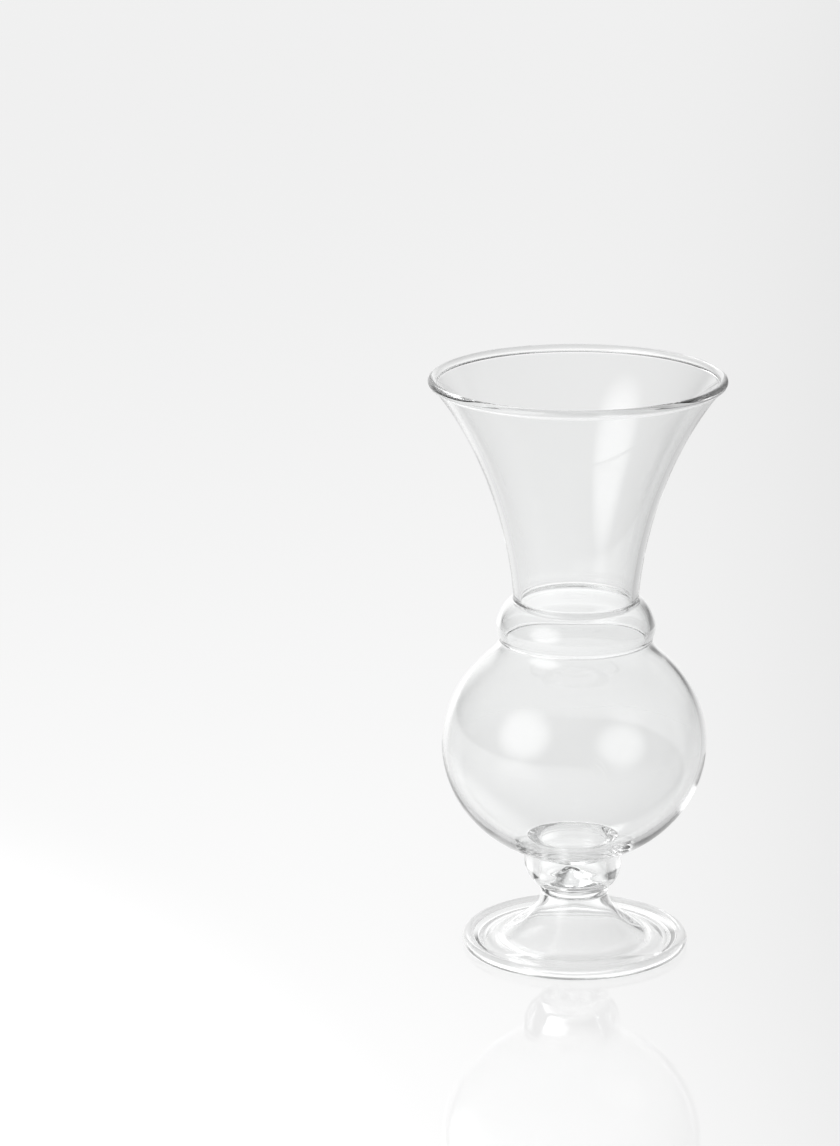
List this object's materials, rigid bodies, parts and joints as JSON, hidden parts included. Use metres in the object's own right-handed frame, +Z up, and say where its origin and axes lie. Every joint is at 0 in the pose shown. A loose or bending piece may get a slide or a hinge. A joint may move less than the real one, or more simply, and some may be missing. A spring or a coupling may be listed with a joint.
{
  "type": "trumpet vase",
  "caption": "Clear blown-glass flower vase with a flared trumpet mouth, a collar, a globe body, a cup-shaped knop and a hollow flared foot.",
  "frame": {"origin": "centre of the foot's underside, on the surface that the vase stands on", "axes": "+Z up along the axis of revolution; +X to the right and -Y towards the viewer of the picture"},
  "size_m": [0.0998, 0.0998, 0.2],
  "materials": {
    "clear_glass": "clear, colourless, fire-polished blown glass"
  },
  "bodies": {
    "root": {"trumpet": "clear_glass", "collar": "clear_glass", "globe": "clear_glass", "knop": "clear_glass", "foot_seal": "clear_glass", "foot": "clear_glass"}
  },
  "joints": []
}
